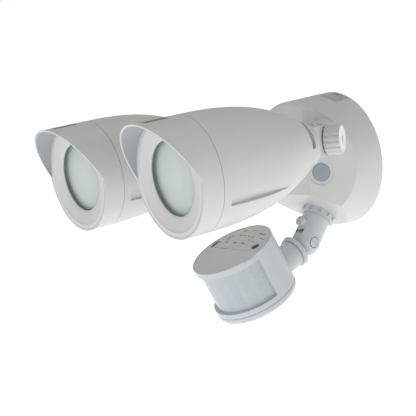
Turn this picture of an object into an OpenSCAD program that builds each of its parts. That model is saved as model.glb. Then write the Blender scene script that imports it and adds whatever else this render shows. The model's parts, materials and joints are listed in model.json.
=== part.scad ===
// Twin-head LED floodlight with a motion sensor, wall mounted.
// Wall plane is y = 0, the light looks along -Y, +Z is up, origin at the centre of the back.
// Sizes in millimetres. Each node is one physical piece; left lamp pieces mirror the right ones.

/* [Canopy] */
// Diameter of the canopy where it meets the wall
canopy_d = 127; // [120:0.5:165]
// Depth of the canopy from the wall to its nose
canopy_depth = 55; // [46:0.5:80]
// Angle of the two side faces that carry the lamps
side_slant = 33.7; // [25:0.1:40]
// Angle between the sensor seat's normal and straight down
seat_angle = 38; // [28:0.5:50]
// Wall thickness of the canopy shell
wall = 3; // [2:0.1:4.5]
// Distance between the two junction box screws
box_spacing = 88.9; // [70:0.1:100]

/* [Lamp neck and clamp] */
// Radius of the neck's foot on the side face
neck_r = 17.5; // [14:0.1:21]
// Stand-off from the side face to the tilt axis
standoff = 40; // [34:0.5:55]
// Height of the neck above the canopy's centre
neck_z = 24.5; // [18:0.5:32]
// Radius of the hub discs on the tilt axis
hub_r = 14; // [11:0.1:15]
// Radius of the fluted clamp knob
knob_r = 13; // [10:0.1:14]
// Length of the clamp knob
knob_len = 14; // [10:0.5:20]
// Radius of the threaded stems through the canopy
stem_r = 10; // [8:0.1:11]

/* [Lamp head] */
// Outer radius of the hood
hood_r = 48.4; // [40:0.2:58]
// Length of the lamp from its front face to its tail
lamp_len = 136; // [120:1:170]
// Length of the hood behind the front face
hood_len = 19.5; // [17:0.5:30]
// Reach of the visor ahead of the front face
visor = 24; // [12:0.5:34]
// Radius of the opening in the front ring
aperture_r = 30.6; // [24:0.2:34]
// Radius of the lamp's tail
tail_r = 20; // [17:0.2:24]
// Downward tilt of the lamp at rest
lamp_tilt = 3.8; // [0:0.1:12]
// Inward turn of the lamp at rest
lamp_toe = 1; // [0:0.1:3]
// Thickness of the front glass
glass_t = 5; // [3:0.1:6]

/* [Motion sensor] */
// Radius of the sensor head
sensor_r = 39.2; // [33:0.1:47]
// Height of the sensor head
sensor_h = 57; // [50:0.5:70]
// Forward pitch of the sensor head
sensor_pitch = 24; // [15:0.5:35]
// Radius of the sensor arm
arm_r = 13; // [11:0.1:14.5]
// Length of the upper arm from its seat to the elbow
arm_len = 32; // [30:0.5:40]
// Distance from the elbow to the back of the head
neck_len = 35.7; // [33:0.1:44]
// Half angle of the lens window
window_half = 87; // [60:1:89]

/* [Hidden] */
$fn = 96;
eps = 0.01;
gap = 0.3;
run = 0.05;
canopy_r = canopy_d / 2;
canopy_rf = canopy_r - 3.5;
edge_r = 4.5;
nose_half = canopy_d * 0.181;
seat_pos = [0, -canopy_depth * 0.513, -canopy_d * 0.377];
plug_k = canopy_d * 0.0953;
plug_z = -6.8;
plug_r = 8.5;
post_x = nose_half + plug_k * cos(side_slant);
neck_k = canopy_d * 0.1457;
hub_k = neck_k + 8.3;
face_dir = [cos(side_slant), sin(side_slant), 0];
face_nrm = [sin(side_slant), -cos(side_slant), 0];
hub_pos = [nose_half, -canopy_depth, neck_z] + hub_k * face_dir + standoff * face_nrm;
lamp_back = [sin(lamp_toe) * cos(lamp_tilt), cos(lamp_toe) * cos(lamp_tilt), sin(lamp_tilt)];
flange_t = 4;
flange_off = [11.4, -26.5, 0.2] * (hub_r / 14);
lamp_pos = hub_pos + flange_off - (lamp_len + gap + flange_t) * lamp_back;
hood_wall = 2;
shell = 2.5;
taper_n = 2.66;
taper_len = (lamp_len - hood_len) / pow(1 - tail_r / hood_r, 1 / taper_n);
tail_solid = 16;
slot_w = 6.5;
glass_r = aperture_r + 3.4;
glass_s = 5;
gasket_s = glass_s + glass_t;
reflector_s = gasket_s + 1.5;
board_s = reflector_s + 19;
sink_s = board_s + 1.6;
elbow_pos = seat_pos + arm_len * [0, -sin(seat_angle), -cos(seat_angle)];
head_fwd = [0, -cos(sensor_pitch), -sin(sensor_pitch)];
head_up = [0, -sin(sensor_pitch), cos(sensor_pitch)];
attach_h = sensor_h * 0.753;
head_pos = elbow_pos + (neck_len + sensor_r) * head_fwd + attach_h * head_up;
ball_r = arm_r + 0.3;
cap_h = 7;
win_top = sensor_h * 0.105;
win_bot = sensor_h * 0.78;
head_wall = 3.2;
dial_pos = [sensor_r * 0.67, -sensor_r * 0.2];
switch_pos = [-sensor_r * 0.84, -sensor_r * 0.143];
switch_slot = [3.8, 9.2];
ledge_z = 4.7;

// Radius of the lamp body a distance s behind the front face
function body_r(s) = hood_r * (1 - pow(max(0, s - hood_len) / taper_len, taper_n));

// ---------- frames ----------
// x runs along the side face away from the nose, y is up, z leaves the face
module side_face() {
  translate([nose_half, -canopy_depth, 0])
    rotate([0, 0, side_slant])
      rotate([90, 0, 0])
        children();
}

// origin at the tilt axis, x along that axis, y up, z away from the canopy
module hub_frame() {
  side_face()
    translate([hub_k, neck_z, standoff])
      children();
}

// origin at the centre of the lamp's front face, y up, z out of the lamp
module lamp_frame() {
  translate(lamp_pos)
    rotate([0, 0, -lamp_toe])
      rotate([lamp_tilt + 90, 0, 0])
        children();
}

// origin at the centre of the sensor seat, z leaves the canopy
module seat_frame() {
  translate(seat_pos)
    rotate([180 - seat_angle, 0, 0])
      children();
}

// origin at the elbow, x across, y forward to the sensor head, z up
module elbow_frame() {
  translate(elbow_pos)
    rotate([sensor_pitch, 0, 0])
      mirror([0, 1, 0])
        children();
}

// origin at the top centre of the sensor head, y forward, z up
module head_frame() {
  translate(head_pos)
    rotate([sensor_pitch, 0, 0])
      mirror([0, 1, 0])
        children();
}

// ---------- helpers ----------
module tube(r_out, r_in, h) {
  difference() {
    cylinder(r = r_out, h = h);
    translate([0, 0, -1])
      cylinder(r = r_in, h = h + 2);
  }
}

module hex_nut(across, bore, h) {
  difference() {
    cylinder(r = across / 2 / cos(30), h = h, $fn = 6);
    translate([0, 0, -1])
      cylinder(r = bore, h = h + 2);
  }
}

module along_x(from, to, r) {
  translate([from, 0, 0])
    rotate([0, 90, 0])
      cylinder(r = r, h = to - from);
}

// Wedge of a disc between two angles, for cutting sectors
module sector(a0, a1, r, h) {
  linear_extrude(height = h)
    polygon(concat([[0, 0]], [for (i = [0:6]) let (a = a0 + (a1 - a0) * i / 6) r * [cos(a), sin(a)]]));
}

// ---------- canopy ----------
module canopy_form(inset, back = 0) {
  depth = canopy_depth - inset;
  difference() {
    rotate([90, 0, 0])
      rotate_extrude()
        polygon(concat(
          [[0, back], [canopy_r - inset, back]],
          [for (i = [0:6]) let (a = i * 15)
            [canopy_rf - inset - edge_r + edge_r * cos(a), depth - edge_r + edge_r * sin(a)]],
          [[0, depth]]));
    side_face()
      translate([-80, -120, -inset])
        cube([260, 240, 120]);
    mirror([1, 0, 0])
      side_face()
        translate([-80, -120, -inset])
          cube([260, 240, 120]);
    seat_frame()
      translate([-120, -120, -inset])
        cube([240, 240, 120]);
  }
}

module screw_post() {
  translate([post_x, -7.2, plug_z])
    rotate([90, 0, 0])
      cylinder(r = 6.2, h = canopy_depth - 17);
}

module plug_boss() {
  side_face()
    translate([plug_k, plug_z, -8])
      cylinder(r = 11, h = 8);
}

module post_bores() {
  translate([post_x, 0, plug_z])
    rotate([90, 0, 0]) {
      cylinder(r = 2.3, h = canopy_depth * 0.5);
      translate([0, 0, 16])
        cylinder(r = 4.7, h = canopy_depth * 0.42);
    }
  side_face()
    translate([plug_k, plug_z, -4.5]) {
      cylinder(r = plug_r, h = 20);
      translate([0, 0, 3.8])
        cylinder(r = plug_r + 3.4, h = 20);
    }
}

module canopy_housing() {
  color("whitesmoke")
    difference() {
      union() {
        difference() {
          canopy_form(0);
          canopy_form(wall, -1);
        }
        intersection() {
          canopy_form(1);
          union() {
            for (m = [0, 1])
              mirror([m, 0, 0]) {
                screw_post();
                plug_boss();
              }
            for (x = [-14, 14])
              translate([x, -canopy_depth * 0.6, 27])
                rotate([90, 0, 0])
                  cylinder(r = 3, h = canopy_depth * 0.4);
          }
        }
        // shoulder that the gasket seats on
        translate([0, -2, 0])
          rotate([90, 0, 0])
            tube(canopy_r - wall + 0.5, canopy_r - 9.5, 3);
      }
      for (m = [0, 1])
        mirror([m, 0, 0]) {
          post_bores();
          side_face()
            translate([neck_k, neck_z, -20])
              cylinder(r = stem_r + run, h = 40);
        }
      seat_frame()
        translate([0, 0, -20])
          cylinder(r = stem_r + run, h = 40);
    }
}

module canopy_gasket() {
  color("dimgray")
    rotate([90, 0, 0])
      tube(canopy_r - wall - 0.2, canopy_r - 9, 2);
}

module mounting_plate() {
  half = canopy_r - 12;
  color("silver")
    difference() {
      union() {
        intersection() {
          rotate([90, 0, 0])
            cylinder(r = half, h = 1.6);
          translate([-half, -2, -13])
            cube([2 * half, 3, 26]);
        }
        for (x = [-post_x, post_x])
          translate([x, -1.5, plug_z])
            rotate([90, 0, 0])
              cylinder(r = 3.6, h = 3.5);
      }
      for (x = [-post_x, post_x])
        translate([x, 1, plug_z])
          rotate([90, 0, 0])
            cylinder(r = 2, h = 8);
      for (x = [-box_spacing / 2, box_spacing / 2])
        translate([x, 1, 0]) {
          translate([-1.8, 0, 0])
            rotate([90, 0, 0])
              cylinder(r = 2.2, h = 4);
          translate([1.8, 0, 0])
            rotate([90, 0, 0])
              cylinder(r = 2.2, h = 4);
          translate([-1.8, -4, -2.2])
            cube([3.6, 4, 4.4]);
        }
      translate([0, 1, 0])
        rotate([90, 0, 0])
          cylinder(r = 8, h = 4);
    }
}

module canopy_screws() {
  color("silver")
    for (x = [-post_x, post_x])
      translate([x, 0, plug_z])
        rotate([90, 0, 0]) {
          translate([0, 0, 0.4])
            cylinder(r = 2, h = 16);
          difference() {
            translate([0, 0, 16])
              cylinder(r1 = 4.3, r2 = 3.7, h = 3);
            translate([-0.6, -5, 18])
              cube([1.2, 10, 2]);
          }
        }
}

module access_plugs() {
  color("lightsteelblue")
    for (m = [0, 1])
      mirror([m, 0, 0])
        side_face()
          translate([plug_k, plug_z, -4.5])
            difference() {
              union() {
                cylinder(r = plug_r, h = 3.6);
                translate([0, 0, 3.6])
                  cylinder(r1 = plug_r, r2 = plug_r - 0.8, h = 0.8);
              }
              translate([0, 0, -1])
                cylinder(r = plug_r - 2, h = 3.2);
            }
}

module led_driver() {
  color("gainsboro")
    difference() {
      translate([-20, -canopy_depth * 0.6, 10])
        cube([40, canopy_depth * 0.6 - 8, canopy_r * 0.53]);
      for (z = [20, 30])
        translate([-21, -canopy_depth * 0.6 - 1, z])
          cube([42, 2, 2]);
    }
}

module terminal_block() {
  color("white")
    difference() {
      translate([-14, -26, 1])
        cube([28, 13, 9]);
      for (x = [-9, 0, 9])
        translate([x, -27, 5.5])
          rotate([-90, 0, 0])
            cylinder(r = 2, h = 9);
    }
}

module rating_label() {
  color("lightgray")
    intersection() {
      rotate([90, 0, 0])
        rotate_extrude()
          polygon([
            [canopy_r + eps - 2 * 3.5 / (canopy_depth - edge_r), 2],
            [canopy_r + 0.2 - 2 * 3.5 / (canopy_depth - edge_r), 2],
            [canopy_r + 0.2 - 20 * 3.5 / (canopy_depth - edge_r), 20],
            [canopy_r + eps - 20 * 3.5 / (canopy_depth - edge_r), 20]]);
      rotate([0, 18, 0])
        translate([-11, -20, 0])
          cube([22, 18, canopy_r + 5]);
    }
}

module sensor_locknut() {
  color("whitesmoke")
    seat_frame()
      difference() {
        tube(arm_r + 3.5, arm_r + gap, 6);
        for (i = [0:11])
          rotate([0, 0, i * 30 + 8])
            translate([arm_r + 2.4, -1.4, 1.2])
              cube([4, 2.8, 3.6]);
      }
}

// ---------- neck and clamp ----------
module neck() {
  side_face()
    difference() {
      union() {
        translate([neck_k, neck_z, -15])
          cylinder(r = stem_r, h = 16);
        translate([neck_k, neck_z, 0.2])
          cylinder(r1 = neck_r, r2 = neck_r - 1.3, h = standoff * 0.54);
        translate([neck_k, neck_z, 0.2 + standoff * 0.54])
          cylinder(r1 = neck_r - 1.3, r2 = neck_r - 3, h = 1.7);
        intersection() {
          translate([neck_k, neck_z, 2])
            cylinder(r = neck_r - 1.5, h = standoff - 2);
          translate([hub_k - 17.5, neck_z - 40, 1])
            cube([12, 80, standoff]);
        }
        translate([0, neck_z, standoff])
          along_x(hub_k - 17.5, hub_k - 5.5, hub_r);
      }
      translate([0, neck_z, standoff])
        along_x(hub_k - 20, hub_k - 5, 3);
      translate([neck_k, neck_z, -16])
        cylinder(r = 5, h = 26);
    }
}

module neck_nut() {
  side_face()
    translate([neck_k, neck_z, -wall - 0.2 - 5])
      hex_nut(25, stem_r, 5);
}

module pivot_bolt() {
  hub_frame() {
    along_x(-18, 16, 3);
    translate([-17.5, 0, 0])
      rotate([0, -90, 0])
        cylinder(r1 = 7, r2 = 4.5, h = 2.6);
  }
}

module knob() {
  hub_frame()
    difference() {
      union() {
        along_x(4.5, 5.6, 6);
        along_x(5.4, 5.4 + knob_len, knob_r);
      }
      along_x(4, 16.3, 3 + run);
      translate([5.4 + knob_len - 1, 0, 0])
        rotate([0, 90, 0])
          cylinder(r = knob_r - 1.2, h = 4);
      for (i = [0:15])
        rotate([i * 22.5, 0, 0])
          translate([0, knob_r + 1.3, 0])
            along_x(0, 30, 2.2);
    }
}

module knob_cap() {
  hub_frame()
    difference() {
      along_x(4.4 + knob_len, 5.2 + knob_len, knob_r - 1.2);
      translate([4.8 + knob_len, -5, -0.8])
        cube([2, 10, 1.6]);
    }
}

// ---------- swivel arm between the clamp and the lamp ----------
module swivel_arm() {
  difference() {
    union() {
      lamp_frame() {
        translate([0, 0, -lamp_len - gap - flange_t])
          cylinder(r = tail_r - 1, h = flange_t);
        translate([0, 0, -lamp_len - gap - 0.5])
          cylinder(r = stem_r, h = 26);
      }
      hub_frame()
        along_x(-5.2, 4.2, hub_r);
      difference() {
        hub_frame()
          translate([-5.2, -hub_r, 0])
            cube([9.4, 2 * hub_r, hub_r * 3]);
        lamp_frame()
          translate([-60, -60, -lamp_len - gap - 1])
            cube([120, 120, 80]);
        lamp_frame()
          translate([0, 0, -lamp_len - 60])
            tube(90, tail_r - 1, 80);
      }
    }
    hub_frame()
      along_x(-8, 8, 3 + run);
    lamp_frame()
      translate([0, 0, -lamp_len])
        cylinder(r = 5, h = 40);
  }
}

module swivel_nut() {
  lamp_frame()
    translate([0, 0, -lamp_len + tail_solid + gap])
      hex_nut(26, stem_r, 5);
}

// ---------- lamp head ----------
// Tapering side groove: grow widens it, so the body keeps its wall behind it
module groove_tool(grow) {
  s0 = hood_len + 7.5;
  s1 = s0 + (lamp_len - s0) * 0.64;
  r0 = body_r(s0) - 2;
  r1 = body_r(s1) + 0.4;
  fall = atan((r0 - r1) / (s1 - s0));
  for (m = [0, 1])
    mirror([m, 0, 0])
      rotate([0, 0, -28])
        translate([r0 - grow, 0, -s0])
          rotate([0, fall, 0])
            rotate([0, 90, 0])
              linear_extrude(height = 20)
                polygon([
                  [-grow, -3.8 - grow], [s1 - s0 + grow, -7.8 - grow],
                  [s1 - s0 + grow, -5.4 + grow], [-grow, 5.5 + grow]]);
}

module lamp_body() {
  s_end = lamp_len - tail_solid;
  lamp_frame()
    difference() {
      union() {
        difference() {
          rotate_extrude()
            polygon(concat(
              [[0, -hood_len - 0.35]],
              [for (i = [0:22]) let (s = i == 0 ? hood_len + 0.35 : hood_len + (lamp_len - hood_len) * i / 22)
                [body_r(s), -s]],
              [[0, -lamp_len]]));
          difference() {
            rotate_extrude()
              polygon(concat(
                [[0, -hood_len + 5], [hood_r - shell - 1.5, -hood_len + 5]],
                [for (i = [0:14]) let (s = hood_len + 3 + (s_end - hood_len - 3) * i / 14)
                  [body_r(s) - shell - (i == 0 ? 1.3 : 0), -s]],
                [[0, -s_end]]));
            groove_tool(shell);
          }
        }
        translate([0, 0, -hood_len - 2])
          tube(hood_r - hood_wall, hood_r - hood_wall - 2.4, 9);
      }
      groove_tool(0);
      translate([0, 0, -lamp_len - 1])
        cylinder(r = stem_r + run, h = 40);
      // stop slot near the tail
      intersection() {
        translate([0, 0, -lamp_len + 2.5])
          tube(60, tail_r - 2.5, slot_w);
        translate([0, 0, -lamp_len + 2.5])
          sector(-4, 122, 70, slot_w);
      }
    }
}

module badge_tool(r0, r1) {
  intersection() {
    translate([0, 0, -6])
      tube(r1, r0, visor * 0.92);
    translate([-8.5, 0, -10])
      cube([17, 80, 60]);
  }
}

module hood() {
  lamp_frame()
    difference() {
      translate([0, 0, -hood_len])
        tube(hood_r, hood_r - hood_wall, hood_len + visor + 2);
      // visor plane from the front face's centre line up to the tip
      rotate([atan(visor / hood_r), 0, 0])
        translate([-100, 0, 0])
          cube([200, 160, 80]);
      // below the centre line the hood ends at the front face
      translate([-100, -160, 0])
        cube([200, 160, 80]);
      badge_tool(hood_r - 0.6, hood_r + 3);
    }
}

module badge() {
  lamp_frame()
    badge_tool(hood_r - 0.6, hood_r - 0.05);
}

module bezel() {
  lamp_frame()
    rotate_extrude()
      polygon([
        [hood_r - hood_wall, 0], [hood_r - 5.4, 0], [hood_r - 6.4, -0.6],
        [aperture_r + 2.4, -3.3], [aperture_r, -4.2], [aperture_r, -glass_s],
        [glass_r, -glass_s], [glass_r, -gasket_s - 0.8], [glass_r + 3, -gasket_s - 0.8],
        [glass_r + 3, -7.5], [hood_r - hood_wall - 3, -3.2], [hood_r - hood_wall - 2, -3.2],
        [hood_r - hood_wall - 2, -8], [hood_r - hood_wall, -8]]);
}

module glass() {
  lamp_frame()
    translate([0, 0, -gasket_s])
      cylinder(r = glass_r, h = glass_t);
}

module glass_gasket() {
  lamp_frame()
    translate([0, 0, -reflector_s])
      tube(glass_r, aperture_r, 1.5);
}

module reflector() {
  lamp_frame()
    rotate_extrude()
      polygon([
        [aperture_r - 0.5, -reflector_s], [glass_r + 2.5, -reflector_s],
        [glass_r + 2.5, -reflector_s - 1.4], [aperture_r + 0.6, -reflector_s - 1.4],
        [15, -board_s + 0.6], [15, -board_s], [12.8, -board_s]]);
}

module led_board() {
  lamp_frame()
    translate([0, 0, -sink_s])
      difference() {
        cylinder(r = 26, h = 1.6);
        for (a = [0, 120, 240])
          rotate([0, 0, a + 30])
            translate([21, 0, -1])
              cylinder(r = 1.6, h = 4);
      }
}

module led() {
  lamp_frame()
    translate([0, 0, -board_s]) {
      translate([-9, -9, 0])
        cube([18, 18, 0.8]);
      cylinder(r = 8, h = 1.3);
    }
}

module heat_sink() {
  lamp_frame()
    translate([0, 0, -sink_s])
      difference() {
        union() {
          translate([0, 0, -6])
            cylinder(r = 29, h = 6);
          translate([0, 0, -28])
            cylinder(r = 13, h = 24);
          for (a = [0:45:315])
            rotate([0, 0, a])
              translate([0, -1.1, -28])
                cube([29, 2.2, 24]);
          // three lugs centre it in the body
          intersection() {
            translate([0, 0, -4])
              cylinder(r = body_r(sink_s + 6) - shell - 0.4, h = 4);
            for (a = [90, 0, 180])
              rotate([0, 0, a])
                translate([20, -5, -4])
                  cube([40, 10, 4]);
          }
        }
        for (a = [0, 120, 240])
          rotate([0, 0, a + 30])
            translate([21, 0, -4])
              cylinder(r = 1.25, h = 5);
      }
}

// ---------- motion sensor ----------
module sensor_arm() {
  color("whitesmoke")
    seat_frame()
      difference() {
        union() {
          translate([0, 0, -15])
            cylinder(r = stem_r, h = 16);
          translate([0, 0, gap])
            cylinder(r = arm_r, h = arm_len - gap);
          translate([0, 0, arm_len])
            sphere(r = ball_r);
          translate([0, 0, arm_len * 0.56])
            rotate([-90, 0, 0])
              cylinder(r = 4.8, h = arm_r + 4);
        }
        translate([0, 0, arm_len])
          along_x(-5.2, 5.2, ball_r + 1);
        translate([0, 0, arm_len])
          along_x(-40, 40, 2.6);
        for (m = [0, 1])
          mirror([m, 0, 0])
            translate([0, 0, arm_len])
              along_x(ball_r - 2.4, 40, 5.2);
        translate([0, 0, arm_len * 0.56])
          rotate([-90, 0, 0])
            translate([0, 0, arm_r - 4])
              cylinder(r = 2, h = 20);
        translate([0, 0, -16])
          cylinder(r = 5, h = 26);
      }
}

module sensor_arm_nut() {
  color("silver")
    seat_frame()
      translate([0, 0, -wall - 0.2 - 5])
        hex_nut(25, stem_r, 5);
}

module arm_lock_screw() {
  color("silver")
    seat_frame()
      translate([0, 0, arm_len * 0.56])
        rotate([-90, 0, 0])
          difference() {
            union() {
              translate([0, 0, arm_r - 3.5])
                cylinder(r = 2, h = 7.5);
              translate([0, 0, arm_r + 4])
                cylinder(r = 3.6, h = 1.2);
            }
            translate([-0.5, -5, arm_r + 4.6])
              cube([1, 10, 2]);
          }
}

module elbow_screw() {
  color("silver")
    seat_frame()
      translate([0, 0, arm_len]) {
        along_x(-ball_r + 2.4, ball_r - 2.4, 2.5);
        for (m = [0, 1])
          mirror([m, 0, 0])
            difference() {
              along_x(ball_r - 2.4, ball_r - 0.6, 4.6);
              translate([ball_r - 1.2, -6, -0.5])
                cube([3, 12, 1]);
            }
      }
}

module sensor_link() {
  flange_a = ball_r + 1.4;
  color("whitesmoke")
    elbow_frame()
      difference() {
        union() {
          along_x(-5, 5, arm_r - 1.5);
          translate([-5, 0, -7])
            cube([10, flange_a + 1, 14]);
          translate([0, flange_a, 0])
            rotate([-90, 0, 0])
              cylinder(r1 = arm_r + 2.5, r2 = arm_r + 1.8, h = 3.7);
          translate([0, flange_a + 3, 0])
            rotate([-90, 0, 0])
              cylinder(r = 7, h = 11);
        }
        along_x(-8, 8, 2.5 + run);
      }
}

module switch_cut(z0) {
  translate([switch_pos[0] - switch_slot[0] / 2, switch_pos[1] - switch_slot[1] / 2, z0])
    cube([switch_slot[0], switch_slot[1], 12]);
}

module head_body(z0, z1, r) {
  translate([0, 0, z0])
    cylinder(r = r, h = z1 - z0);
}

module sensor_housing() {
  z_low = -sensor_h + cap_h + 0.4;
  neck_z0 = ball_r + 1.4 + 3.7 + gap;
  color("whitesmoke")
    difference() {
      union() {
        head_frame()
          difference() {
            union() {
              head_body(z_low, 0, sensor_r);
              // latch tabs on the top band
              for (m = [0, 1])
                mirror([m, 0, 0])
                  intersection() {
                    head_body(-5.5, -0.8, sensor_r + 0.6);
                    rotate([0, 0, 16])
                      translate([20, -5, -10])
                        cube([40, 10, 20]);
                  }
            }
            head_body(-3.2, 1, sensor_r - 1.2);
            head_body(z_low - 1, -ledge_z, sensor_r - head_wall);
            head_body(-6, 2, sensor_r - head_wall - 3);
            switch_cut(-8);
            translate([0, 0, -win_bot])
              sector(90 - window_half, 90 + window_half, 80, win_bot - win_top);
          }
        // rear neck that takes the link's spigot
        difference() {
          elbow_frame()
            translate([0, neck_z0, 0])
              rotate([-90, 0, 0])
                cylinder(r = arm_r - 0.1, h = neck_len - neck_z0 + 8);
          head_frame()
            head_body(-90, 20, sensor_r - head_wall);
        }
      }
      elbow_frame()
        translate([0, neck_z0 - 1, 0])
          rotate([-90, 0, 0])
            cylinder(r = 7 + run, h = 13);
    }
}

module sensor_bottom_cap() {
  color("whitesmoke")
    difference() {
      head_frame()
        difference() {
          union() {
            translate([0, 0, -sensor_h])
              rotate_extrude()
                polygon(concat(
                  [[0, 0]],
                  [for (i = [0:4]) let (a = -90 + i * 22.5)
                    [sensor_r - 5 + 5 * cos(a), 5 + 5 * sin(a)]],
                  [[sensor_r, cap_h], [0, cap_h]]));
            translate([0, 0, -sensor_h + cap_h - 1])
              cylinder(r = sensor_r - head_wall, h = 4);
          }
          translate([0, 0, -sensor_h + 2.5])
            cylinder(r = sensor_r - head_wall - 2, h = 30);
        }
      elbow_frame()
        translate([0, 10, 0])
          rotate([-90, 0, 0])
            cylinder(r = arm_r + 0.1, h = neck_len - 10 + 4);
    }
}

module sensor_lens() {
  color([0.95, 0.95, 0.95, 0.9])
    head_frame()
      intersection() {
        translate([0, 0, -win_bot - 2.2])
          tube(sensor_r - head_wall, sensor_r - head_wall - 1.6, win_bot + 2.2 - ledge_z - run);
        translate([0, 0, -60])
          sector(90 - window_half - 1.5, 90 + window_half + 1.5, 80, 80);
      }
}

module sensor_face() {
  color("gainsboro")
    head_frame()
      difference() {
        head_body(-3.2, -0.3, sensor_r - 1.2);
        translate([dial_pos[0], dial_pos[1], -8])
          cylinder(r = 3.9, h = 12);
        switch_cut(-8);
      }
}

module sensor_label() {
  color("lightgray")
    head_frame()
      difference() {
        intersection() {
          head_body(-0.3, -0.1, sensor_r - 2.4);
          translate([-60, -60.8, -1])
            cube([120, 60, 2]);
        }
        translate([dial_pos[0], dial_pos[1], -8])
          cylinder(r = 4.4, h = 12);
        translate([switch_pos[0] - 5, switch_pos[1] - 5, -8])
          cube([7.4, 10, 12]);
      }
}

module time_dial() {
  color("dimgray")
    head_frame()
      translate([dial_pos[0], dial_pos[1], -9])
        difference() {
          union() {
            cylinder(r = 2, h = 4);
            translate([0, 0, 3])
              cylinder(r = 3.6, h = 5.3);
          }
          translate([-0.6, -5, 7.1])
            cube([1.2, 10, 4]);
        }
}

module mode_switch() {
  color("dimgray")
    head_frame()
      translate([switch_pos[0], switch_pos[1], 0]) {
        translate([-1.6, -2, -7])
          cube([3.2, 4, 6.9]);
      }
}

module sensor_board() {
  color("seagreen")
    head_frame()
      difference() {
        union() {
          head_body(-11.6, -10, sensor_r - head_wall - 5);
          // potentiometer under the dial
          translate([dial_pos[0] - 3.5, dial_pos[1] - 3.5, -10.5])
            cube([7, 7, 1.2]);
          intersection() {
            head_body(-11.6, -10, sensor_r - head_wall);
            for (a = [200, 270, 340])
              rotate([0, 0, a])
                translate([20, -3, -12])
                  cube([30, 6, 3]);
          }
        }
        translate([0, 12, -14])
          cylinder(r = 1.4, h = 6);
      }
}

module pyro_sensor() {
  color("silver")
    head_frame()
      translate([0, 12, -17]) {
        cylinder(r = 4.6, h = 4.6);
        translate([0, 0, 4.4])
          cylinder(r = 5, h = 1);
        cylinder(r = 1.4, h = 7);
      }
}

// ---------- left and right pieces ----------
module right_neck() { color("whitesmoke") neck(); }
module right_neck_nut() { color("silver") neck_nut(); }
module right_pivot_bolt() { color("silver") pivot_bolt(); }
module right_knob() { color("whitesmoke") knob(); }
module right_knob_cap() { color("white") knob_cap(); }
module right_swivel_arm() { color("whitesmoke") swivel_arm(); }
module right_swivel_nut() { color("silver") swivel_nut(); }
module right_lamp_body() { color("whitesmoke") lamp_body(); }
module right_hood() { color("whitesmoke") hood(); }
module right_badge() { color("dimgray") badge(); }
module right_bezel() { color("white") bezel(); }
module right_glass() { color([0.75, 0.85, 0.82, 0.6]) glass(); }
module right_gasket() { color("dimgray") glass_gasket(); }
module right_reflector() { color("silver") reflector(); }
module right_led_board() { color("white") led_board(); }
module right_led() { color("khaki") led(); }
module right_heat_sink() { color("silver") heat_sink(); }

module left_neck() { color("whitesmoke") mirror([1, 0, 0]) neck(); }
module left_neck_nut() { color("silver") mirror([1, 0, 0]) neck_nut(); }
module left_pivot_bolt() { color("silver") mirror([1, 0, 0]) pivot_bolt(); }
module left_knob() { color("whitesmoke") mirror([1, 0, 0]) knob(); }
module left_knob_cap() { color("white") mirror([1, 0, 0]) knob_cap(); }
module left_swivel_arm() { color("whitesmoke") mirror([1, 0, 0]) swivel_arm(); }
module left_swivel_nut() { color("silver") mirror([1, 0, 0]) swivel_nut(); }
module left_lamp_body() { color("whitesmoke") mirror([1, 0, 0]) lamp_body(); }
module left_hood() { color("whitesmoke") mirror([1, 0, 0]) hood(); }
module left_badge() { color("dimgray") mirror([1, 0, 0]) badge(); }
module left_bezel() { color("white") mirror([1, 0, 0]) bezel(); }
module left_glass() { color([0.75, 0.85, 0.82, 0.6]) mirror([1, 0, 0]) glass(); }
module left_gasket() { color("dimgray") mirror([1, 0, 0]) glass_gasket(); }
module left_reflector() { color("silver") mirror([1, 0, 0]) reflector(); }
module left_led_board() { color("white") mirror([1, 0, 0]) led_board(); }
module left_led() { color("khaki") mirror([1, 0, 0]) led(); }
module left_heat_sink() { color("silver") mirror([1, 0, 0]) heat_sink(); }

canopy_housing();
canopy_gasket();
mounting_plate();
canopy_screws();
access_plugs();
led_driver();
terminal_block();
rating_label();
sensor_locknut();
right_neck();
right_neck_nut();
right_pivot_bolt();
right_knob();
right_knob_cap();
right_swivel_arm();
right_swivel_nut();
right_lamp_body();
right_hood();
right_badge();
right_bezel();
right_glass();
right_gasket();
right_reflector();
right_led_board();
right_led();
right_heat_sink();
left_neck();
left_neck_nut();
left_pivot_bolt();
left_knob();
left_knob_cap();
left_swivel_arm();
left_swivel_nut();
left_lamp_body();
left_hood();
left_badge();
left_bezel();
left_glass();
left_gasket();
left_reflector();
left_led_board();
left_led();
left_heat_sink();
sensor_arm();
sensor_arm_nut();
arm_lock_screw();
elbow_screw();
sensor_link();
sensor_housing();
sensor_bottom_cap();
sensor_lens();
sensor_face();
sensor_label();
time_dial();
mode_switch();
sensor_board();
pyro_sensor();
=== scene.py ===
import bpy, bmesh, json, math
from mathutils import Vector, Matrix


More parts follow.
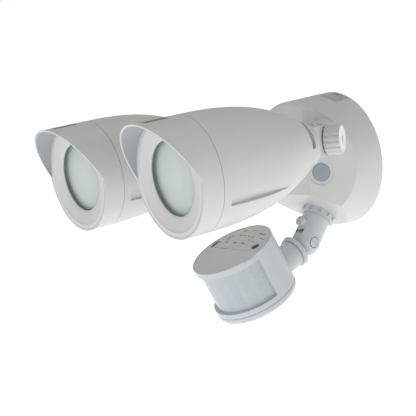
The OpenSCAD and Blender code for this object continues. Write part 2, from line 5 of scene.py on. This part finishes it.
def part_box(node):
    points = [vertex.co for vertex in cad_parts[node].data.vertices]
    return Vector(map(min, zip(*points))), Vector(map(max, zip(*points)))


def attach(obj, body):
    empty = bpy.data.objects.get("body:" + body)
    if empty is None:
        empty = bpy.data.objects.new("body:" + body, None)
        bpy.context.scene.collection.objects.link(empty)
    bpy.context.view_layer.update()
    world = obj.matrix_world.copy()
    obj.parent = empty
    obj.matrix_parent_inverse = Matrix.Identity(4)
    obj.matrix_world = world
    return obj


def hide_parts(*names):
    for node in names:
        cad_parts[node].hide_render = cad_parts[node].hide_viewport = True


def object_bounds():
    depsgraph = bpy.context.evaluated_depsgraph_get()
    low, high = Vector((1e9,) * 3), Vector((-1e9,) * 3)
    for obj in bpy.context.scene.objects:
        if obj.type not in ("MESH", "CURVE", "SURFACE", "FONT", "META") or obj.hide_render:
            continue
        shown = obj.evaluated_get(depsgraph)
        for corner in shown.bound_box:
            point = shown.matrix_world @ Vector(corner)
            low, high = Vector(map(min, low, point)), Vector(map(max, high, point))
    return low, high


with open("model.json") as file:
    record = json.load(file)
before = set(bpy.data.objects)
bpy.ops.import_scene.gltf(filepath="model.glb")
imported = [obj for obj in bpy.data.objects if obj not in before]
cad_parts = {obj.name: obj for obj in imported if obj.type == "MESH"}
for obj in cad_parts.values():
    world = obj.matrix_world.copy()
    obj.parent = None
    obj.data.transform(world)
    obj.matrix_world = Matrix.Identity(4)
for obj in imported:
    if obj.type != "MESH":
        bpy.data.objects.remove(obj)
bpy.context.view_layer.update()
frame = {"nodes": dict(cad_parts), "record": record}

N = frame["nodes"]
SIDES = ("right", "left")


# ---------------------------------------------------------------- materials
def clamp01(v):
    return max(0.0, min(1.0, v))


def new_mat(name):
    m = bpy.data.materials.new(name)
    m.use_nodes = True
    nt = m.node_tree
    b = nt.nodes["Principled BSDF"]
    return m, nt, b


def noise(nt, scale, detail=3.0, rough=0.5, stretch=(1, 1, 1)):
    tc = nt.nodes.new("ShaderNodeTexCoord")
    mp = nt.nodes.new("ShaderNodeMapping")
    mp.inputs["Scale"].default_value = stretch
    nz = nt.nodes.new("ShaderNodeTexNoise")
    nz.inputs["Scale"].default_value = scale
    nz.inputs["Detail"].default_value = detail
    nz.inputs["Roughness"].default_value = rough
    nt.links.new(tc.outputs["Object"], mp.inputs["Vector"])
    nt.links.new(mp.outputs["Vector"], nz.inputs["Vector"])
    return nz.outputs["Fac"]


def ramp(nt, src, lo, hi, a, b):
    r = nt.nodes.new("ShaderNodeValToRGB")
    r.color_ramp.elements[0].position = lo
    r.color_ramp.elements[1].position = hi
    r.color_ramp.elements[0].color = (*a, 1)
    r.color_ramp.elements[1].color = (*b, 1)
    nt.links.new(src, r.inputs["Fac"])
    return r.outputs["Color"]


def rng(nt, src, lo, hi, a, b):
    r = nt.nodes.new("ShaderNodeMapRange")
    for k, v in zip(("From Min", "From Max", "To Min", "To Max"), (lo, hi, a, b)):
        r.inputs[k].default_value = v
    nt.links.new(src, r.inputs["Value"])
    return r.outputs["Result"]


def bump(nt, b, srcs, edge=0.0):
    last = None
    if edge:
        bv = nt.nodes.new("ShaderNodeBevel")
        bv.samples = 4
        bv.inputs["Radius"].default_value = edge
        last = bv.outputs["Normal"]
    for src, strength, dist in srcs:
        n = nt.nodes.new("ShaderNodeBump")
        n.inputs["Strength"].default_value = strength
        n.inputs["Distance"].default_value = dist
        nt.links.new(src, n.inputs["Height"])
        if last:
            nt.links.new(last, n.inputs["Normal"])
        last = n.outputs["Normal"]
    nt.links.new(last, b.inputs["Normal"])


def surface(name, col, rough=(0.35, 0.5), spread=0.035, fine=1400.0, fine_h=0.00004, broad=26.0,
            coat=0.0, metallic=0.0, spec=0.5, sss=0.0, stretch=(1, 1, 1), edge=0.0):
    """Moulded or painted surface: cloudy colour, fine grain and uneven gloss."""
    m, nt, b = new_mat(name)
    lo = tuple(clamp01(c * (1 - spread)) for c in col)
    hi = tuple(clamp01(c * (1 + spread)) for c in col)
    nt.links.new(ramp(nt, noise(nt, broad, 4, 0.6), 0.3, 0.7, lo, hi), b.inputs["Base Color"])
    nt.links.new(rng(nt, noise(nt, broad * 2.3, 5, 0.65, stretch), 0.3, 0.7, *rough), b.inputs["Roughness"])
    grain = (noise(nt, fine, 2, 0.5, stretch), 0.5, fine_h)
    swell = (noise(nt, broad * 6, 2, 0.5), 0.25, fine_h * 3)
    bump(nt, b, [grain, swell], edge)
    b.inputs["Metallic"].default_value = metallic
    b.inputs["Coat Weight"].default_value = coat
    b.inputs["Coat Roughness"].default_value = 0.18
    b.inputs["Specular IOR Level"].default_value = spec
    if sss:
        b.inputs["Subsurface Weight"].default_value = sss
        b.inputs["Subsurface Scale"].default_value = 0.004
    return m


def powder_coat(name):
    return surface(name, (0.645, 0.648, 0.638), (0.34, 0.46), 0.02, 1500, 0.00005, coat=0.1, edge=0.0005)


PAINT = powder_coat("powder_coat")
BEZEL = surface("bezel_coat", (0.665, 0.667, 0.665),
                (0.36, 0.46), 0.015, 1500, 0.00004, coat=0.08, edge=0.0005)
PLASTIC = surface("sensor_plastic", (0.57, 0.605, 0.625),
                  (0.3, 0.42), 0.02, 2200, 0.00003, coat=0.1, edge=0.0004)
KNOB = surface("knob_plastic", (0.62, 0.625, 0.605), (0.38, 0.5), 0.03, 1800, 0.00004, edge=0.0004)
CAP = surface("knob_cap", (0.88, 0.89, 0.89), (0.25, 0.35), 0.015, 1600, 0.00002, coat=0.2, edge=0.0003)
PLUG = surface("plug", (0.31, 0.37, 0.40), (0.3, 0.42), 0.05, 1300, 0.00004, edge=0.0003)
FACE = surface("face_plastic", (0.58, 0.585, 0.575), (0.4, 0.52), 0.03, 1900, 0.00004)
RUBBER = surface("rubber", (0.03, 0.03, 0.032), (0.6, 0.8), 0.2, 1400, 0.00008)
ZINC = surface("zinc", (0.62, 0.63, 0.65), (0.22, 0.4), 0.06, 600, 0.00003, metallic=1.0, stretch=(1, 6, 1))
ALU = surface("cast_alu", (0.55, 0.56, 0.57), (0.35, 0.5), 0.06, 800, 0.00008, metallic=1.0)
CHROME = surface("reflector", (0.85, 0.85, 0.87), (0.05, 0.12), 0.02, 400, 0.00001, metallic=1.0)
BOARD_W = surface("board_white", (0.78, 0.78, 0.76), (0.3, 0.4), 0.03, 900, 0.00003)
BOARD_G = surface("board_green", (0.03, 0.16, 0.07), (0.25, 0.4), 0.12, 700, 0.00005, coat=0.3)
LED = surface("phosphor", (0.85, 0.66, 0.12), (0.4, 0.6), 0.08, 1500, 0.00005, sss=0.2)
DRIVER = surface("driver_case", (0.45, 0.46, 0.47), (0.4, 0.55), 0.05, 900, 0.00006, edge=0.0006)
TERMINAL = surface("terminal", (0.78, 0.78, 0.75), (0.35, 0.5), 0.03, 1100, 0.00004, edge=0.0003)
DARK = surface("dark_inlay", (0.035, 0.030, 0.022), (0.25, 0.4), 0.25, 1200, 0.00003, coat=0.3)
FILM = surface("silver_film", (0.47, 0.49, 0.48), (0.24, 0.34), 0.05, 500, 0.00002, metallic=0.2, coat=0.3)
LABEL = surface("printed_label", (0.56, 0.575, 0.55), (0.34, 0.46), 0.04, 700, 0.00002)
PRINT = surface("print_ink", (0.13, 0.135, 0.13), (0.4, 0.55), 0.25, 900, 0.00001)
PRINT2 = surface("label_ink", (0.015, 0.016, 0.017), (0.35, 0.5), 0.25, 900, 0.00001)
# painted shade: grey for the shaded groove of the knob cap's slot
SLOT_SHADE = surface("cap_slot_shade", (0.36, 0.37, 0.37), (0.4, 0.55), 0.1, 900, 0.00001)
EDGE = surface("glass_edge", (0.055, 0.13, 0.10), (0.1, 0.2), 0.12, 300, 0.00002, coat=0.4)


def frosted_glass(name, origin, axis):
    """Frosted back of the pane: pale green, with painted shade making it darker and greener towards its rim.
    """
    m, nt, b = new_mat(name)
    grain = rng(nt, noise(nt, 1700, 2, 0.6), 0.2, 0.8, -0.0006, 0.0006)
    add = nt.nodes.new("ShaderNodeMath")
    add.operation = "ADD"
    nt.links.new(axis_distance(nt, origin, axis), add.inputs[0])
    nt.links.new(grain, add.inputs[1])
    # painted shade: the colour darkens and turns greener towards the rim
    cr = nt.nodes.new("ShaderNodeValToRGB")
    el = cr.color_ramp.elements
    el[0].position, el[0].color = 0.0, (0.70, 0.725, 0.715, 1)
    el[1].position, el[1].color = 1.0, (0.12, 0.23, 0.18, 1)
    mid = el.new(0.80)
    mid.color = (0.58, 0.64, 0.62, 1)
    mid = el.new(0.90)
    mid.color = (0.47, 0.56, 0.53, 1)
    scale = rng(nt, add.outputs["Value"], 0.0, 0.0315, 0.0, 1.0)
    nt.links.new(scale, cr.inputs["Fac"])
    nt.links.new(cr.outputs["Color"], b.inputs["Base Color"])
    nt.links.new(rng(nt, noise(nt, 900, 3, 0.6), 0.3, 0.7, 0.3, 0.42), b.inputs["Roughness"])
    bump(nt, b, [(noise(nt, 2600, 2, 0.6), 0.6, 0.00003)])
    b.inputs["Coat Weight"].default_value = 0.35
    b.inputs["Coat Roughness"].default_value = 0.08
    return m


def axis_distance(nt, origin, axis):
    """Distance of the surface point from a line, in metres."""
    tc = nt.nodes.new("ShaderNodeTexCoord")
    sub = nt.nodes.new("ShaderNodeVectorMath")
    sub.operation = "SUBTRACT"
    sub.inputs[1].default_value = origin
    nt.links.new(tc.outputs["Object"], sub.inputs[0])
    crs = nt.nodes.new("ShaderNodeVectorMath")
    crs.operation = "CROSS_PRODUCT"
    crs.inputs[1].default_value = axis
    nt.links.new(sub.outputs["Vector"], crs.inputs[0])
    ln = nt.nodes.new("ShaderNodeVectorMath")
    ln.operation = "LENGTH"
    nt.links.new(crs.outputs["Vector"], ln.inputs[0])
    return ln.outputs["Value"]


def visor_coat_painted_shade(name, origin, axis, r_in, r_out):
    """Powder coat of the hood: full coat outside, painted shade inside the visor, darker and cooler there."""
    m = powder_coat(name)
    nt = m.node_tree
    b = nt.nodes["Principled BSDF"]
    outer = b.inputs["Base Color"].links[0].from_socket
    # painted shade: darker, cooler colour for the visor's inside
    inner_shade = ramp(nt, noise(nt, 30, 3, 0.5), 0.3, 0.7, (0.40, 0.43, 0.455), (0.42, 0.45, 0.475))
    mix = nt.nodes.new("ShaderNodeMix")
    mix.data_type = "RGBA"
    nt.links.new(rng(nt, axis_distance(nt, origin, axis), r_in, r_out, 0.0, 1.0), mix.inputs["Factor"])
    nt.links.new(inner_shade, mix.inputs["A"])
    nt.links.new(outer, mix.inputs["B"])
    nt.links.new(mix.outputs["Result"], b.inputs["Base Color"])
    return m


def clear_glass():
    m, nt, b = new_mat("clear_glass")
    tint = ramp(nt, noise(nt, 40, 2, 0.5), 0.3, 0.7, (0.72, 0.80, 0.78), (0.76, 0.82, 0.80))
    nt.links.new(tint, b.inputs["Base Color"])
    nt.links.new(rng(nt, noise(nt, 120, 3, 0.6), 0.3, 0.7, 0.04, 0.09), b.inputs["Roughness"])
    bump(nt, b, [(noise(nt, 60, 2, 0.5), 0.3, 0.00002)])
    b.inputs["Alpha"].default_value = 0.12
    return m


def lens_material(origin, rot):
    """Milky lens: broad faint upright bands of the segment pattern on its inside."""
    m, nt, b = new_mat("lens_plastic")
    tc = nt.nodes.new("ShaderNodeTexCoord")
    mp = nt.nodes.new("ShaderNodeMapping")
    mp.vector_type = "TEXTURE"
    mp.inputs["Location"].default_value = origin
    mp.inputs["Rotation"].default_value = rot
    nt.links.new(tc.outputs["Object"], mp.inputs["Vector"])
    sp = nt.nodes.new("ShaderNodeSeparateXYZ")
    nt.links.new(mp.outputs["Vector"], sp.inputs["Vector"])
    at = nt.nodes.new("ShaderNodeMath")
    at.operation = "ARCTAN2"
    nt.links.new(sp.outputs["X"], at.inputs[0])
    nt.links.new(sp.outputs["Y"], at.inputs[1])

    def ribs(src, pitch, width):
        pp = nt.nodes.new("ShaderNodeMath")
        pp.operation = "PINGPONG"
        pp.inputs[1].default_value = pitch / 2
        nt.links.new(src, pp.inputs[0])
        return rng(nt, pp.outputs["Value"], 0.0, width, 1.0, 0.0)

    up = ribs(at.outputs["Value"], math.radians(19), math.radians(3.4))
    cloudy = noise(nt, 24, 2, 0.5)
    base = ramp(nt, cloudy, 0.3, 0.7, (0.47, 0.515, 0.55), (0.49, 0.535, 0.57))
    mix = nt.nodes.new("ShaderNodeMix")
    mix.data_type = "RGBA"
    mix.inputs["B"].default_value = (0.56, 0.60, 0.63, 1)
    fac = rng(nt, up, 0.0, 1.0, 0.0, 0.28)
    nt.links.new(fac, mix.inputs["Factor"])
    nt.links.new(base, mix.inputs["A"])
    nt.links.new(mix.outputs["Result"], b.inputs["Base Color"])
    nt.links.new(rng(nt, noise(nt, 90, 4, 0.6), 0.3, 0.7, 0.24, 0.36), b.inputs["Roughness"])
    bump(nt, b, [(up, 0.1, 0.00005), (noise(nt, 900, 2, 0.5), 0.4, 0.00003)])
    b.inputs["Subsurface Weight"].default_value = 0.15
    b.inputs["Subsurface Scale"].default_value = 0.004
    b.inputs["Coat Weight"].default_value = 0.2
    b.inputs["Coat Roughness"].default_value = 0.2
    return m


# ---------------------------------------------------------------- frames from the record
JN = {j["name"]: j for j in frame["record"]["behaviour"]["joints"]}


def axes_at(origin, fwd):
    z = Vector(fwd).normalized()
    if z.y > 0:
        z = -z
    y = (Vector((0, 0, 1)) - z * z.z).normalized()
    x = y.cross(z)
    m = Matrix((x, y, z)).transposed().to_4x4()
    m.translation = Vector(origin)
    return m


CLEAR = clear_glass()
LAMP = {s: axes_at(JN[s + "_lamp_turn"]["pos_m"], JN[s + "_lamp_turn"]["axis"]) for s in SIDES}
h_up = Vector(JN["time_dial_turn"]["axis"]).normalized()
h_fwd = Vector(JN["sensor_head_turn"]["axis"]).normalized()
if h_fwd.y > 0:
    h_fwd = -h_fwd
h_x = Vector((1, 0, 0))
dial = Vector(JN["time_dial_turn"]["pos_m"])
face_lo, face_hi = [Vector(v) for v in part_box("sensor_face")]
HEAD_R = (face_hi.x - face_lo.x) / 2 + 0.0012
top_mid = dial - h_x * dial.x + h_fwd * 0.2 * HEAD_R
HEAD = Matrix((h_x, h_fwd, h_up)).transposed().to_4x4()
HEAD.translation = top_mid
LENS = lens_material(tuple(top_mid), (math.atan2(-h_up.y, h_up.z), 0, 0))

SLOT_MAT = {
    "painted_housing": PAINT, "sensor_plastic": PLASTIC, "lens_plastic": LENS, "bezel": BEZEL,
    "knob_plastic": KNOB, "knob_cap": CAP, "plug_rubber": PLUG, "gasket": RUBBER,
    "zinc_steel": ZINC, "heat_sink": ALU, "reflector": CHROME, "board_white": BOARD_W,
    "board_green": BOARD_G, "led": LED, "driver": DRIVER, "terminal": TERMINAL, "label": LABEL,
    "face": FACE, "dark": DARK, "glass": EDGE,
}
NODE_MAT = {"rating_label": FILM, "elbow_screw": PLASTIC, "arm_lock_screw": PLASTIC}
for part in frame["record"]["subparts"]:
    o = N[part["node"]]
    o.data.materials.clear()
    o.data.materials.append(NODE_MAT.get(part["node"], SLOT_MAT[part["material_slot"]]))


# painted shade inside the visor: its inside is told from its outside by the distance from the lamp's axis
PAINTED_SHADE_IN, PAINTED_SHADE_OUT = 0.0017, 0.0011
for sd in SIDES:
    L = LAMP[sd]
    ax, og = L.to_3x3().col[2], L.translation
    reach = max((v.co - og).cross(ax).length for v in N[sd + "_hood"].data.vertices)
    coat = visor_coat_painted_shade(sd + "_visor_coat_painted_shade", tuple(og), tuple(ax), reach - PAINTED_SHADE_IN, reach - PAINTED_SHADE_OUT)
    N[sd + "_hood"].data.materials[0] = coat


# ---------------------------------------------------------------- new pieces
def piece(name, bm, mat, body, smooth=True):
    me = bpy.data.meshes.new(name)
    bmesh.ops.remove_doubles(bm, verts=bm.verts, dist=1e-7)
    bmesh.ops.recalc_face_normals(bm, faces=bm.faces)
    bm.to_mesh(me)
    bm.free()
    me.materials.append(mat)
    if smooth:
        me.polygons.foreach_set("use_smooth", [True] * len(me.polygons))
        me.set_sharp_from_angle(angle=math.radians(35))
    ob = bpy.data.objects.new(name, me)
    bpy.context.scene.collection.objects.link(ob)
    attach(ob, body)
    return ob


def lathe(bm, prof, mat4, seg=96):
    """Closed ring or disc: prof is a closed loop of (radius, height) about the frame's z."""
    rings = []
    for k in range(seg):
        a = 2 * math.pi * k / seg
        rings.append([bm.verts.new(mat4 @ Vector((r * math.cos(a), r * math.sin(a), z))) for r, z in prof])
    for k in range(seg):
        p, q = rings[k], rings[(k + 1) % seg]
        for i in range(len(prof)):
            j = (i + 1) % len(prof)
            if prof[i][0] < 1e-9 and prof[j][0] < 1e-9:
                continue
            vs = [p[i], p[j], q[j], q[i]]
            if prof[i][0] < 1e-9:
                vs = [p[i], p[j], q[j]]
            elif prof[j][0] < 1e-9:
                vs = [p[i], p[j], q[i]]
            bm.faces.new(vs)


def slab(bm, pts, place, thick):
    """Thin raised mark: an outline of (u, v) points, placed by place(u, v, height)."""
    low = [bm.verts.new(place(u, v, 0.0)) for u, v in pts]
    top = [bm.verts.new(place(u, v, thick)) for u, v in pts]
    n = len(pts)
    bm.faces.new(top)
    bm.faces.new(list(reversed(low)))
    for i in range(n):
        bm.faces.new([low[i], low[(i + 1) % n], top[(i + 1) % n], top[i]])


def ring_mark(bm, u, v, r1, r0, place, thick, a0=0.0, a1=360.0, seg=40):
    full = a1 - a0 > 359
    n = max(4, int(seg * (a1 - a0) / 360))
    cols = []
    for k in range(n if full else n + 1):
        a = math.radians(a0 + (a1 - a0) * k / n)
        cols.append([bm.verts.new(place(u + r * math.cos(a), v + r * math.sin(a), h))
                     for r, h in ((r0, 0.0), (r1, 0.0), (r1, thick), (r0, thick))])
    for k in range(n):
        p, q = cols[k], cols[(k + 1) % len(cols)]
        for i in range(4):
            bm.faces.new([p[i], p[(i + 1) % 4], q[(i + 1) % 4], q[i]])
    if not full:
        bm.faces.new(cols[0])
        bm.faces.new(list(reversed(cols[-1])))


def bar(bm, u, v, w, h, place, thick, turn=0.0):
    c, sn = math.cos(math.radians(turn)), math.sin(math.radians(turn))
    e = min(w, h) * 0.35
    loc = [(-w / 2 + e, -h / 2), (w / 2 - e, -h / 2), (w / 2, -h / 2 + e), (w / 2, h / 2 - e),
           (w / 2 - e, h / 2), (-w / 2 + e, h / 2), (-w / 2, h / 2 - e), (-w / 2, -h / 2 + e)]
    slab(bm, [(u + a * c - b * sn, v + a * sn + b * c) for a, b in loc], place, thick)


# lamp glass: clear pane, green edge ring round it, frosted back
HALF = 0.0025
PANE_R, RING_R, RIM_R = 0.0322, 0.0323, 0.0337
PANE_T, CHAMFER = 0.0030, 0.0003
for sd in SIDES:
    L = LAMP[sd]
    body = sd + "_lamp"
    gl, gh = [Vector(v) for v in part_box(sd + "_glass")]
    mid = (gl + gh) / 2
    s_mid = -(mid - L.translation).dot(L.to_3x3().col[2])
    front, back_s = -(s_mid - HALF), -(s_mid + HALF)
    bm = bmesh.new()
    lathe(bm, [(0, front), (0.0317, front), (PANE_R, front - CHAMFER), (PANE_R, front - PANE_T),
               (0, front - PANE_T)], L, 128)
    pane = piece(sd + "_glass_pane", bm, CLEAR, body)
    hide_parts(sd + "_glass")
    bm = bmesh.new()
    lathe(bm, [(RING_R, front), (0.0334, front), (RIM_R, front - CHAMFER), (RIM_R, back_s + 0.0018),
               (RING_R, back_s + 0.0018)], L, 128)
    piece(sd + "_glass_edge", bm, EDGE, body)
    bm = bmesh.new()
    lathe(bm, [(0, back_s + 0.0017), (0.0335, back_s + 0.0017), (RIM_R, back_s + 0.0015),
               (RIM_R, back_s + 0.0002), (0, back_s + 0.0002)], L, 128)
    fro = frosted_glass(sd + "_frosted", tuple(L.translation), tuple(L.to_3x3().col[2]))
    piece(sd + "_glass_frost", bm, fro, body)


# moulded slot in the face of each knob cap, drawn as a flat grey mark: painted shade of its groove
for sd in SIDES:
    j = JN[sd + "_clamp_knob"]
    ax = Vector(j["axis"]).normalized()
    org = Vector(j["pos_m"])
    if ax.dot(Vector((1 if sd == "right" else -1, 0, 0))) < 0:
        ax = -ax
    up = (Vector((0, 0, 1)) - ax * ax.z).normalized()
    sx = up.cross(ax)
    reach = max((v.co - org).dot(ax) for v in N[sd + "_knob_cap"].data.vertices)
    bm = bmesh.new()
    bar(bm, 0.0006, 0.0004, 0.0013, 0.0062,
        lambda u, v, h: org + ax * (reach - 0.00012 + h) + sx * u + up * v, 0.00015)
    piece(sd + "_knob_slot", bm, SLOT_SHADE, sd + "_knob", False)


# sensor face: printed marks, all plain bars, dots and arcs
MM = 0.001


def on_face(u, v, h):
    return HEAD @ Vector((u * MM, v * MM, -0.10 * MM + h * MM))


def on_deck(u, v, h):
    return HEAD @ Vector((u * MM, v * MM, -0.30 * MM + h * MM))


bm = bmesh.new()
for u, v, w, h, t in ((16.6, -25.9, 9.5, 1.3, 6), (22.6, -19.2, 3.6, 1.2, 10), (26.4, -18.4, 2.4, 1.2, 10),
                      (-29.4, -9.0, 3.4, 1.4, 0), (-19.0, -9.6, 3.8, 1.4, 0), (-6.6, -9.9, 4.4, 1.7, 0),
                      (-1.2, -9.6, 1.0, 1.8, 0), (5.6, -9.9, 4.6, 1.6, 0), (11.6, -9.3, 1.0, 1.8, 0),
                      (-22.6, -17.4, 2.6, 1.1, 40), (-20.6, -19.6, 2.6, 1.1, 40), (-10.9, -21.6, 3.2, 1.3, 0),
                      (-4.6, -21.6, 5.0, 1.0, 0), (2.2, -21.0, 2.0, 1.4, 0), (8.0, -15.5, 5.0, 0.7, 12),
                      (-12.0, -28.5, 6.0, 0.8, 0), (0.0, -30.0, 4.0, 0.8, 0), (16.0, -14.0, 3.0, 0.8, 30)):
    bar(bm, u, v, w, h, on_face, 0.04, t)
for u, v, r in ((-22.0, -14.0, 1.9), (9.0, -20.0, 1.5)):
    ring_mark(bm, u, v, r, r - 0.5, on_face, 0.04)
for a in range(60, 301, 30):
    ca, sa = math.cos(math.radians(a)), math.sin(math.radians(a))
    bar(bm, 26.3 + 5.7 * ca, -7.84 + 5.7 * sa, 1.2, 0.5, on_face, 0.04, a)
piece("sensor_face_marks", bm, PRINT, "sensor_head", False)

# parting line between the printed label and the plain front of the face
bm = bmesh.new()
for k in range(12):
    u0, u1 = -36.0 + 61.0 * k / 12, -36.0 + 61.0 * (k + 1) / 12
    bar(bm, (u0 + u1) / 2, -0.45 - 0.5 * k / 12, u1 - u0 + 0.1, 0.34, on_deck, 0.05, -0.5)
bar(bm, -10.0, -0.2, 2.0, 1.0, on_deck, 0.06, 0)
piece("sensor_face_line", bm, PRINT, "sensor_head", False)

# canopy label: round mark of plain rings, with dots and bars beside it
cb_lo, cb_hi = [Vector(v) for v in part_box("canopy_housing")]
CAN_R = (cb_hi.x - cb_lo.x) / 2
LAB_A = math.radians(18)


def on_canopy(u, v, h):
    y = -v * MM
    r = CAN_R + 0.00018 + y * 0.0035 / 0.047
    a = LAB_A + u * MM / CAN_R
    return Vector(((r + h * MM) * math.sin(a), y, (r + h * MM) * math.cos(a)))


bm = bmesh.new()
ring_mark(bm, -4.0, 9.0, 5.4, 4.0, on_canopy, 0.05)
ring_mark(bm, -4.0, 9.0, 3.3, 2.3, on_canopy, 0.05)
ring_mark(bm, -4.0, 9.0, 1.4, 0.05, on_canopy, 0.05, seg=20)
for k in range(4):
    ring_mark(bm, 3.0, 5.4 + 2.6 * k, 0.8, 0.05, on_canopy, 0.05, seg=16)
for k in range(5):
    bar(bm, 6.8, 4.4 + 2.4 * k, 4.6 - (k % 2) * 1.6, 1.1, on_canopy, 0.05)
bar(bm, -4.6, 15.6, 8.0, 0.9, on_canopy, 0.05)
bar(bm, -5.4, 17.4, 6.0, 0.7, on_canopy, 0.05)
piece("canopy_label_marks", bm, PRINT2, "base", False)


# ---------------------------------------------------------------- stage, camera, lights
def stage_plane(name, verts, mat):
    me = bpy.data.meshes.new(name)
    me.from_pydata(verts, [], [tuple(range(len(verts)))])
    ob = bpy.data.objects.new(name, me)
    ob.data.materials.append(mat)
    bpy.context.scene.collection.objects.link(ob)
    return ob


lo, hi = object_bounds()
FLOOR = surface("floor", (0.9, 0.9, 0.9), (0.8, 0.9), 0.004, 60, 0.00001, spec=0.1)
FLOOR.node_tree.nodes["Principled BSDF"].inputs["Emission Color"].default_value = (0.975, 0.99, 1.0, 1)
FLOOR.node_tree.nodes["Principled BSDF"].inputs["Emission Strength"].default_value = 0.74
z0 = lo[2] - 0.16
stage_plane("floor", [(-30, -30, z0), (30, -30, z0), (30, 30, z0), (-30, 30, z0)], FLOOR)

cam = bpy.data.cameras.new("camera")
cam.lens = 94.33
cam.sensor_width = 36
cam.clip_start = 0.01
co = bpy.data.objects.new("camera", cam)
bpy.context.scene.collection.objects.link(co)
bpy.context.scene.camera = co
az, el, roll, dist = math.radians(56.07), math.radians(6.71), math.radians(-6.78), 1.048
back = Vector((math.sin(az) * math.cos(el), -math.cos(az) * math.cos(el), math.sin(el)))
r0 = Vector((math.cos(az), math.sin(az), 0))
u0 = back.cross(r0)
r = r0 * math.cos(roll) + u0 * math.sin(roll)
u = u0 * math.cos(roll) - r0 * math.sin(roll)
pos = back * dist + r * -0.12306 + u * -0.04804
m = Matrix((r, u, back)).transposed().to_4x4()
m.translation = pos
co.matrix_world = m


def area(name, loc, target, size, power, col=(1, 1, 1)):
    l = bpy.data.lights.new(name, "AREA")
    l.energy = power
    l.size = size
    l.color = col
    ob = bpy.data.objects.new(name, l)
    ob.location = loc
    ob.rotation_euler = (Vector(target) - Vector(loc)).to_track_quat("-Z", "Y").to_euler()
    bpy.context.scene.collection.objects.link(ob)


C = Vector((0, -0.12, -0.02))
area("key_front", (0.25, -1.7, 0.25), C, 1.1, 0.6, (1.0, 0.995, 0.98))
area("low_front", (0.5, -1.2, -0.28), C, 0.6, 0.25, (0.97, 1.0, 1.0))
area("top_soft", (-0.1, -0.25, 1.4), C, 1.4, 3.7, (1.0, 0.995, 0.975))

# studio world: bright at the horizon, dimmer and slightly warm-green overhead
w = bpy.data.worlds.new("studio")
bpy.context.scene.world = w
w.use_nodes = True
nt = w.node_tree
tc = nt.nodes.new("ShaderNodeTexCoord")
sp = nt.nodes.new("ShaderNodeSeparateXYZ")
nt.links.new(tc.outputs["Generated"], sp.inputs["Vector"])
cr = nt.nodes.new("ShaderNodeValToRGB")
el = cr.color_ramp.elements
el[0].position, el[0].color = 0.0, (1.0, 1.0, 1.0, 1)
el[1].position, el[1].color = 1.0, (0.40, 0.405, 0.375, 1)
e = el.new(0.085)
e.color = (1.0, 1.0, 1.0, 1)
e = el.new(0.2)
e.color = (0.42, 0.425, 0.42, 1)
e = el.new(0.5)
e.color = (0.40, 0.405, 0.385, 1)
nt.links.new(sp.outputs["Z"], cr.inputs["Fac"])
nt.links.new(cr.outputs["Color"], nt.nodes["Background"].inputs["Color"])
nt.nodes["Background"].inputs["Strength"].default_value = 1.0
bpy.context.scene.view_settings.view_transform = "Standard"
